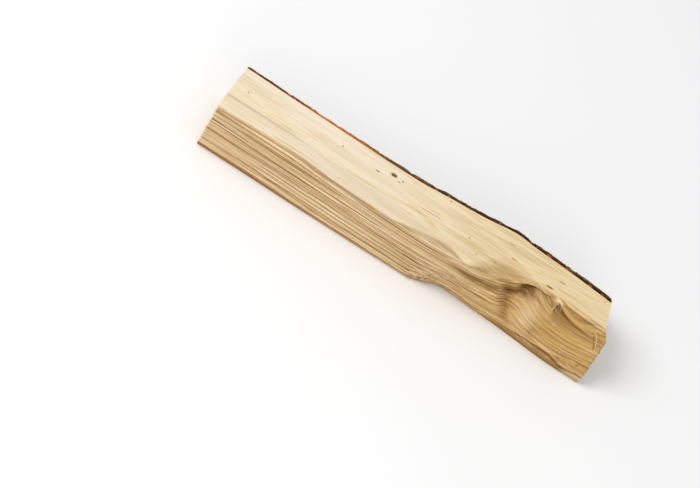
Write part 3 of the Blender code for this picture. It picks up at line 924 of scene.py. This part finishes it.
class Field:
    """A value in a material's nodes. Arithmetic on fields adds the nodes that work it out."""

    def __init__(self, tree, socket):
        self.tree = tree
        self.socket = socket

    def _math(self, operation, *values):
        node = self.tree.nodes.new("ShaderNodeMath")
        node.operation = operation
        for slot, value in zip(node.inputs, values):
            join(self.tree, slot, value)
        return Field(self.tree, node.outputs[0])

    def __add__(self, other):
        return self._math("ADD", self, other)

    def __sub__(self, other):
        return self._math("SUBTRACT", self, other)

    def __rsub__(self, other):
        return self._math("SUBTRACT", other, self)

    def __mul__(self, other):
        return self._math("MULTIPLY", self, other)

    def __truediv__(self, other):
        return self._math("DIVIDE", self, other)

    def __pow__(self, other):
        return self._math("POWER", self, other)

    def __abs__(self):
        return self._math("ABSOLUTE", self)

    __radd__ = __add__
    __rmul__ = __mul__

    def held(self):
        """The value kept from 0 to 1."""
        return self._math("MAXIMUM", self._math("MINIMUM", self, 1.0), 0.0)

    def over(self, low, high):
        """0 below low and 1 above high, and smooth between."""
        node = self.tree.nodes.new("ShaderNodeMapRange")
        node.interpolation_type = "SMOOTHSTEP"
        for slot, value in zip(node.inputs, (self, low, high, 0.0, 1.0)):
            join(self.tree, slot, value)
        return Field(self.tree, node.outputs[0])


def join(tree, slot, value):
    """Links a field to a socket, or sets the socket's own value."""
    if isinstance(value, Field):
        tree.links.new(value.socket, slot)
    elif hasattr(value, "__len__") and len(value) == 3 and slot.type == "RGBA":
        slot.default_value = (*value, 1.0)
    else:
        slot.default_value = value


SHEEN = 0.12


class Finish:
    """A material under construction."""

    def __init__(self, name):
        self.material = bpy.data.materials.new(name)
        self.material.use_nodes = True
        self.tree = self.material.node_tree
        self.shader = self.tree.nodes["Principled BSDF"]

    def node(self, kind, settings=None, sockets=None, output=0):
        """One node of any kind: its settings first, and then its sockets' values or links."""
        node = self.tree.nodes.new(kind)
        for name, value in (settings or {}).items():
            if name == "stops":
                set_stops(node.color_ramp, value)
            else:
                setattr(node, name, value)
        for name, value in (sockets or {}).items():
            join(self.tree, node.inputs[name], value)
        return Field(self.tree, node.outputs[output])

    def vector(self, x, y, z):
        return self.node("ShaderNodeCombineXYZ", {}, {"X": x, "Y": y, "Z": z})

    def parts(self, vector):
        node = self.tree.nodes.new("ShaderNodeSeparateXYZ")
        join(self.tree, node.inputs[0], vector)
        return [Field(self.tree, slot) for slot in node.outputs]

    def value(self, name):
        return self.node("ShaderNodeAttribute", {"attribute_name": name}, output="Fac")

    def values(self, name):
        return self.parts(
            self.node("ShaderNodeAttribute", {"attribute_name": name}, output="Vector")
        )

    def noise(self, vector, detail=2.0, roughness=0.5):
        """Smooth noise from 0 to 1, which changes over about one unit of the vector."""
        sockets = {"Vector": vector, "Scale": 1.0, "Detail": detail, "Roughness": roughness}
        return self.node("ShaderNodeTexNoise", {}, sockets)

    def blend(self, share, first, second, mode="MIX"):
        """A colour that goes from the first to the second."""
        node = self.tree.nodes.new("ShaderNodeMix")
        node.data_type = "RGBA"
        node.blend_type = mode
        for slot, value in ((0, share), (6, first), (7, second)):
            join(self.tree, node.inputs[slot], value)
        return Field(self.tree, node.outputs[2])

    def bump(self, height, distance, normal=None, strength=1.0):
        sockets = {"Height": height, "Distance": distance, "Strength": strength}
        if normal is not None:
            sockets["Normal"] = normal
        return self.node("ShaderNodeBump", {}, sockets)

    def coat(self, colour, roughness, normal, sheen=SHEEN):
        join(self.tree, self.shader.inputs["Base Color"], colour)
        join(self.tree, self.shader.inputs["Roughness"], roughness)
        join(self.tree, self.shader.inputs["Normal"], normal)
        self.shader.inputs["Specular IOR Level"].default_value = sheen
        return self.material


def set_stops(ramp, stops):
    """Sets a colour ramp's stops, each a place from 0 to 1 and a grey level."""
    while len(ramp.elements) < len(stops):
        ramp.elements.new(1.0)
    for element, (place, level) in zip(ramp.elements, stops):
        element.position = place
        element.color = (level, level, level, 1.0)


RAMP_REACH = 0.080


def ring_stops():
    """Each ring darkens towards its late wood, and the next one starts pale."""
    stops = []
    for radius, strength in RINGS[:-1]:
        stops.append((radius / RAMP_REACH, strength ** (1 / 3)))
        stops.append(((radius + 0.0002) / RAMP_REACH, 0.0))
    return stops


def marks(finish, x, y, table):
    """1 in the middle of each small mark in the table, and 0 outside them."""
    total = 0.0
    for place_x, place_y, half_x, half_y in table:
        across = ((y - (place_y - CENTRE_Y)) / half_y) ** 2.0
        total = total + (1.3 - ((x - (place_x - CENTRE_X)) / half_x) ** 2.0 - across).held()
    return total.held()


def checks(finish, turn, ring, waver):
    """1 in the drying cracks of a sawn end. They run out from the pith, and narrow to nothing."""
    total = 0.0
    for angle, start, stop, half in END_CHECKS:
        across = abs(turn + (waver - 0.5) * 0.02 - angle / 2) * ring
        width = (1 - abs(ring - (start + stop) / 2) / ((stop - start) / 2)).held() * half
        total = total + (width - across).over(-0.00005, 0.00012)
    return total.held()


def wood_finish(look):
    wood = Finish("split_wood")
    length, ring, arc = wood.values("grain")
    sap, sawn, stain_and_shade = wood.values("zones")
    yellow_and_lip_shadow, orange, rim = wood.values("tints")
    flush, crease_shade, _ = wood.values("pale")
    x, y, z = wood.parts(wood.node("ShaderNodeTexCoord", output="Object"))

    late = wood.node("ShaderNodeValToRGB", {"stops": ring_stops()}, {"Fac": ring / RAMP_REACH})
    on_top = z.over(0.052, 0.0555)
    late = late ** 3.0 * (1 - on_top * 0.8)
    bands = wood.noise(wood.vector(length * 5, ring * 230, arc * 90))
    lines = wood.noise(wood.vector(length * 5, ring * 780, arc * 160))
    ridges = wood.noise(wood.vector(length * 9 + 5, ring * 700, arc * 260), 3.0)
    threads = wood.noise(wood.vector(length * 90, ring * 2600, arc * 1300))
    shades = wood.noise(wood.vector(length * 34, ring * 130, arc * 60), 3.0)
    warm = length.over(0.02, 0.12)
    calm = 1 - warm * (0.62 - shades.over(0.35, 0.58) * 0.40)

    light = wood.blend(warm, look.heart_light, look.heart_gold)
    dark = wood.blend(warm, look.heart_dark, look.heart_brown)
    torn = wood.blend(warm, look.heart_bright_and_highlight, look.heart_glow)
    heart = wood.blend(bands.over(0.40, 0.62) * 0.85, light, dark)
    heart = wood.blend(shades.over(0.50, 0.75) * warm * (0.5 - on_top * 0.4), heart, look.heart_brown)
    bright = ridges.over(0.50 - warm * 0.04, 0.62 + warm * 0.08)
    calmer = 1 - length.over(0.140, 0.165) * 0.35
    heart = wood.blend(bright * 0.80 * calm * calmer, heart, torn)
    near = ring.over(0.0500, 0.0525) * (1 - warm)
    heavy = lines.over(0.55, 0.60) * (0.95 - warm * 0.15) * calm * (1 - near * 0.85)
    heart = wood.blend(heavy, heart, look.heart_line)
    heart = wood.blend(late * (0.95 - warm * 0.30) * calm, heart, look.heart_line)
    upper = wood.noise(wood.vector(length * 4 + 9, ring * 1250, arc * 60))
    upper = upper.over(0.53, 0.60) * ring.over(0.0455, 0.0490) * (1 - warm)
    heart = wood.blend(upper * 0.62, heart, look.heart_line)
    heart = wood.blend(threads.over(0.50, 0.72) * 0.35, heart, look.heart_line)
    seams = wood.noise(wood.vector(length * 9, y * 1500 + length * 200, 4.0), 3.0)
    seams = seams.over(0.50, 0.60) * on_top * sap.over(0.04, 0.09)
    heart = wood.blend(seams * 0.55, heart, look.heart_line)
    heart = wood.blend((orange * (bands + 0.5)).held(), heart, look.foot_orange)
    grain = (ridges - 0.5) * 1.4 - (lines - 0.5) * 1.2
    # Staining and painted shade of the knot's hollows, creases and keel, broken by the grain.
    heart = wood.blend((stain_and_shade * (1.0 - grain)).held(), heart, look.knot_stain_and_shade)

    clouds = wood.noise(wood.vector(length * 10, y * 45, z * 45))
    fibres = wood.noise(wood.vector(length * 26, y * 780, z * 780), 3.0)
    patches = wood.noise(wood.vector(length * 20, y * 420, 2.0))
    pale = wood.blend(length.over(-0.12, 0.19), look.sap_light, look.sap_straw)
    pale = wood.blend(clouds.over(0.38, 0.65) * 0.65, pale, look.sap_deep)
    pale = wood.blend(flush * (clouds * 0.5 + fibres * 0.9), pale, look.sap_flush)
    grained = length.over(-0.05, 0.12) * 0.6 + 0.3 - length.over(0.130, 0.165) * 0.45
    fans = wood.noise(wood.vector(length * 11, ring * 260, y * 90), 3.0)
    pale = wood.blend(fans.over(0.45, 0.66) * grained * 0.8, pale, look.sap_line)
    pale = wood.blend(fibres.over(0.52, 0.62) * grained, pale, look.sap_line)
    pale = wood.blend(late * 0.20, pale, look.sap_line)
    stained = clouds.over(0.48, 0.60) * 0.5
    pale = wood.blend(patches.over(0.58, 0.66) * stained, pale, look.sap_yellow_and_lip_shadow)
    broken = (patches + fibres).over(0.70, 1.10)
    # Yellowed streaks, and the painted shadow under the lip's step.
    pale = wood.blend(yellow_and_lip_shadow * broken * 0.65, pale, look.sap_yellow_and_lip_shadow)
    # Painted shade in the top face's crease.
    pale = wood.blend(crease_shade * (fibres * 0.6 + 0.6), pale, look.sap_grey)

    turn = arc / (abs(ring) + 0.002)
    rays = wood.noise(wood.vector(ring * 60, turn * 260, 0.0))
    saw = wood.noise(wood.vector(y * 30, z * 900 + y * 420, 0.0))
    end = wood.blend(sap, look.end_heart, look.end_sap)
    end = wood.blend(bands.over(0.40, 0.65) * 0.35, end, look.end_line)
    end = wood.blend(rays.over(0.52, 0.68) * 0.35, end, look.end_line)
    end = wood.blend(saw.over(0.50, 0.70) * 0.22, end, look.end_line)
    end = wood.blend(late * 0.75, end, look.end_line)
    end = wood.blend(checks(wood, turn, ring, rays) * 0.9, end, look.mark_dark)

    colour = wood.blend(sap, heart, pale)
    colour = wood.blend(marks(wood, x, y, ORANGE_MARKS) * on_top * 0.85, colour, look.mark_orange)
    colour = wood.blend(marks(wood, x, y, DARK_MARKS) * on_top * 0.95, colour, look.mark_dark)
    colour = wood.blend(sawn, colour, end)
    # Painted highlights in the torn fibres' colour: the left saw cut's edge, the broken edge, the step and the
    # swelling, and a lighter line along the lower edge.
    colour = wood.blend(rim * 0.6, colour, look.heart_bright_and_highlight)
    height = (lines * -0.4 + ridges * 0.4 + threads * 0.5) * (1 - sap * 0.7)
    normal = wood.bump(height + fibres * 0.3 + saw * sawn * 0.6, 0.0006)
    return wood.coat(colour, 0.72 - sap * 0.1, normal)


def bark_finish(look):
    finish = Finish("rough_bark")
    height, number, fresh = finish.values("bark")
    edge = finish.value("edge")
    place = finish.node("ShaderNodeTexCoord", output="Object")
    x, y, z = finish.parts(place)
    grit = finish.noise(finish.vector(x * 300, y * 600, z * 600), 4.0, 0.65)
    layer = finish.noise(finish.vector(x * 70, y * 320, z * 320), 4.0, 0.6)
    patch = finish.noise(finish.vector(x * 28, y * 60, z * 60), 3.0)
    colour = finish.blend((grit * 0.5 + layer * 0.5).over(0.38, 0.62), look.bark_dark, look.bark_light)
    colour = finish.blend((number * 0.35).held(), colour, look.bark_red)
    colour = finish.blend(layer.over(0.54, 0.62) * 0.55, colour, look.bark_rust)
    colour = finish.blend((patch * 0.5 + grit * 0.5).over(0.52, 0.60) * 0.7, colour, look.bark_lichen)
    sunk = (1 - height + (layer - 0.5) * 1.6 + (grit - 0.5) * 0.6).over(0.35, 1.25)
    colour = finish.blend(sunk * 0.88, colour, look.bark_furrow)
    flecks = finish.noise(finish.vector(x * 160, y * 160, z * 160), 3.0).over(0.52, 0.66)
    torn = finish.blend((edge + flecks * 0.55).held(), look.inner_bark, look.inner_orange)
    colour = finish.blend(fresh, colour, torn)
    normal = finish.bump(grit * 0.5 + layer, 0.0012)
    return finish.coat(colour, 0.9, normal, 0.02)


def tone(name, description, colour):
    """A colour that the log's look can be given."""
    return FloatVectorProperty(
        name=name, description=description, subtype="COLOR", default=colour, min=0.0, max=1.0
    )


class LogLook(bpy.types.PropertyGroup):
    """The colours of the wood and the bark."""

    heart_light: tone("Heartwood", "The tan wood near the pith", (0.68, 0.485, 0.260))
    heart_dark: tone("Heartwood bands", "Darker bands along its grain", (0.56, 0.385, 0.195))
    heart_gold: tone("Golden heartwood", "The tan wood past the knot", (0.575, 0.360, 0.127))
    heart_brown: tone("Brown heartwood", "Its darker bands", (0.44, 0.250, 0.075))
    # Also the colour of painted highlights on the split's edges, the step and the swelling.
    heart_bright_and_highlight: tone("Torn fibres", "Bright fibres on the split", (0.90, 0.73, 0.49))
    heart_glow: tone("Torn fibres at the knot", "Bright fibres past the knot", (0.92, 0.71, 0.42))
    heart_line: tone("Late wood", "The dark line that ends a ring", (0.22, 0.100, 0.020))
    # Also the colour of painted shade: the valley under the arris, the trough, the pocket, the recess, the
    # crease and the keel.
    knot_stain_and_shade: tone("Knot", "The wood in the knot's hollows", (0.17, 0.068, 0.012))
    foot_orange: tone("Lower edge", "The front's lower edge", (0.34, 0.165, 0.048))
    sap_light: tone("Sapwood", "The pale wood under the bark", (0.84, 0.735, 0.575))
    sap_straw: tone("Straw sapwood", "The sapwood past the knot", (0.80, 0.63, 0.345))
    sap_deep: tone("Sapwood clouds", "Slightly deeper areas", (0.80, 0.65, 0.42))
    sap_flush: tone("Pinkish sapwood", "The sapwood along the arris", (0.78, 0.635, 0.47))
    sap_line: tone("Sapwood fibres", "Faint lines along its grain", (0.63, 0.465, 0.245))
    # Also the colour of the painted shadow under the lip's step.
    sap_yellow_and_lip_shadow: tone("Yellow stain", "Streaks in the sapwood", (0.60, 0.42, 0.11))
    sap_grey: tone("Crease", "The shaded crease of the top face", (0.56, 0.44, 0.31))
    mark_orange: tone("Orange flecks", "Small resin marks", (0.55, 0.24, 0.06))
    mark_dark: tone("Dark flecks", "Small knots and a hole", (0.16, 0.038, 0.012))
    end_heart: tone("Heartwood end", "The sawn end's middle", (0.56, 0.37, 0.17))
    end_sap: tone("Sapwood end", "The sawn end's outer rings", (0.74, 0.58, 0.36))
    end_line: tone("End rings", "The sawn end's rings and rays", (0.34, 0.19, 0.075))
    bark_light: tone("Bark", "The tops of the bark's plates", (0.27, 0.180, 0.105))
    bark_dark: tone("Bark grit", "Dark grit on the plates", (0.085, 0.054, 0.030))
    bark_red: tone("Bark red", "Plates that have weathered red", (0.17, 0.085, 0.038))
    bark_rust: tone("Bark rust", "Scales that have flaked off", (0.24, 0.105, 0.038))
    bark_lichen: tone("Lichen", "Grey patches on the bark", (0.34, 0.31, 0.22))
    bark_furrow: tone("Furrows", "The bottoms of the furrows", (0.036, 0.021, 0.012))
    inner_bark: tone("Inner bark", "Broken edges of the bark", (0.040, 0.008, 0.003))
    inner_orange: tone("Fresh inner bark", "Where the edge broke lately", (0.55, 0.190, 0.035))


class StageSettings(bpy.types.PropertyGroup):
    """The floor, the lights and the camera."""

    elevation: FloatProperty(
        name="Elevation", description="The camera's height over the horizon",
        subtype="ANGLE", default=math.radians(50.0),
    )
    roll: FloatProperty(
        name="Roll", description="How far the log's axis runs down to the right in the picture",
        subtype="ANGLE", default=math.radians(32.5),
    )
    distance: FloatProperty(
        name="Distance", description="From the camera to the log",
        unit="LENGTH", default=1.493, min=0.5,
    )
    lens: FloatProperty(name="Lens", description="Focal length in millimetres", default=85.0)
    key_power: FloatProperty(name="Key light", description="Power in watts", default=54.0)
    fill_power: FloatProperty(name="Fill light", description="Power in watts", default=16.0)
    sky: FloatProperty(name="Sky", description="Strength of the soft light all round", default=0.62)


def dress(thing, finish):
    """Gives a piece its material, ties it to the log's body, and hides the log's solid."""
    thing.data.materials.append(finish)
    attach(thing, "root")
    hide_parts("split_log")


class LOG_OT_wood(bpy.types.Operator):
    """Builds the split and sawn wood"""

    bl_idname = "log.wood"
    bl_label = "Wood"

    def execute(self, context):
        dress(build_wood(), wood_finish(context.scene.log_look))
        return {"FINISHED"}


class LOG_OT_splinters(bpy.types.Operator):
    """Builds the slivers that stand on the split front"""

    bl_idname = "log.splinters"
    bl_label = "Splinters"

    def execute(self, context):
        dress(build_splinters(), bpy.data.materials["split_wood"])
        return {"FINISHED"}


class LOG_OT_bark(bpy.types.Operator):
    """Builds the bark along the log's back"""

    bl_idname = "log.bark"
    bl_label = "Bark"

    def execute(self, context):
        dress(build_bark(), bark_finish(context.scene.log_look))
        return {"FINISHED"}


PICTURE = (700, 488)
LOG_PIXEL = (408, 224)
SENSOR = 0.036


def set_camera(stage):
    """Puts the camera where the log's middle comes at LOG_PIXEL of the picture."""
    rise, roll = stage.elevation, stage.roll
    level = Vector((0.0, math.sin(rise), math.cos(rise)))
    back = Vector((0.0, -math.cos(rise), math.sin(rise)))
    right = Vector((math.cos(roll), 0.0, 0.0)) + math.sin(roll) * level
    up = Vector((-math.sin(roll), 0.0, 0.0)) + math.cos(roll) * level
    middle = Vector((-CENTRE_X, -0.01260, 0.029))
    per_pixel = stage.distance * SENSOR / (stage.lens / 1000.0) / PICTURE[0]
    across = (LOG_PIXEL[0] - PICTURE[0] / 2) * per_pixel
    down = (LOG_PIXEL[1] - PICTURE[1] / 2) * per_pixel
    data = bpy.data.cameras.new("camera")
    data.lens = stage.lens
    data.sensor_width = SENSOR * 1000
    camera = bpy.data.objects.new("camera", data)
    turn = Matrix((right, up, back)).transposed().to_4x4()
    turn.translation = middle + back * stage.distance - right * across + up * down
    camera.matrix_world = turn
    bpy.context.scene.collection.objects.link(camera)
    bpy.context.scene.camera = camera


def add_light(name, place, power, size, aim=(0.0, 0.0, 0.03)):
    """A soft square light that points at the log."""
    data = bpy.data.lights.new(name, "AREA")
    data.energy = power
    data.size = size
    light = bpy.data.objects.new(name, data)
    light.location = place
    light.rotation_euler = (Vector(place) - Vector(aim)).to_track_quat("Z", "Y").to_euler()
    bpy.context.scene.collection.objects.link(light)


class LOG_OT_stage(bpy.types.Operator):
    """Sets the floor, the lights and the camera"""

    bl_idname = "log.stage"
    bl_label = "Stage"

    def execute(self, context):
        stage = context.scene.log_stage
        mesh = bpy.data.meshes.new("floor")
        reach = 6.0
        corners_ = [(-reach, -reach, 0), (reach, -reach, 0), (reach, reach, 0), (-reach, reach, 0)]
        mesh.from_pydata(corners_, [], [(0, 1, 2, 3)])
        floor = bpy.data.objects.new("floor", mesh)
        context.scene.collection.objects.link(floor)
        paper = Finish("pale_floor")
        mesh.materials.append(paper.coat((0.9, 0.9, 0.9), 0.8, paper.bump(0.5, 0.001)))
        add_light("key", (-1.9, -0.75, 2.3), stage.key_power, 1.7)
        add_light("fill", (0.5, -2.4, 0.9), stage.fill_power, 1.6)
        world = bpy.data.worlds.new("studio")
        world.use_nodes = True
        background = world.node_tree.nodes["Background"]
        background.inputs["Color"].default_value = (1.0, 1.0, 1.0, 1.0)
        background.inputs["Strength"].default_value = stage.sky
        context.scene.world = world
        context.scene.view_settings.view_transform = "Standard"
        set_camera(stage)
        return {"FINISHED"}


class LOG_PT_panel(bpy.types.Panel):
    """Lists the log's pieces"""

    bl_label = "Split Log"
    bl_idname = "LOG_PT_panel"
    bl_space_type = "VIEW_3D"
    bl_region_type = "UI"
    bl_category = "Log"

    def draw(self, context):
        for operator in OPERATORS:
            self.layout.operator(operator.bl_idname)


OPERATORS = (LOG_OT_wood, LOG_OT_splinters, LOG_OT_bark, LOG_OT_stage)
CLASSES = (LogLook, StageSettings, *OPERATORS, LOG_PT_panel)


def register():
    for cls in CLASSES:
        bpy.utils.register_class(cls)
    bpy.types.Scene.log_look = PointerProperty(type=LogLook)
    bpy.types.Scene.log_stage = PointerProperty(type=StageSettings)


def unregister():
    del bpy.types.Scene.log_stage
    del bpy.types.Scene.log_look
    for cls in reversed(CLASSES):
        bpy.utils.unregister_class(cls)


def main():
    register()
    bpy.ops.log.wood()
    bpy.ops.log.splinters()
    bpy.ops.log.bark()
    bpy.ops.log.stage()


if __name__ == "__main__":
    main()
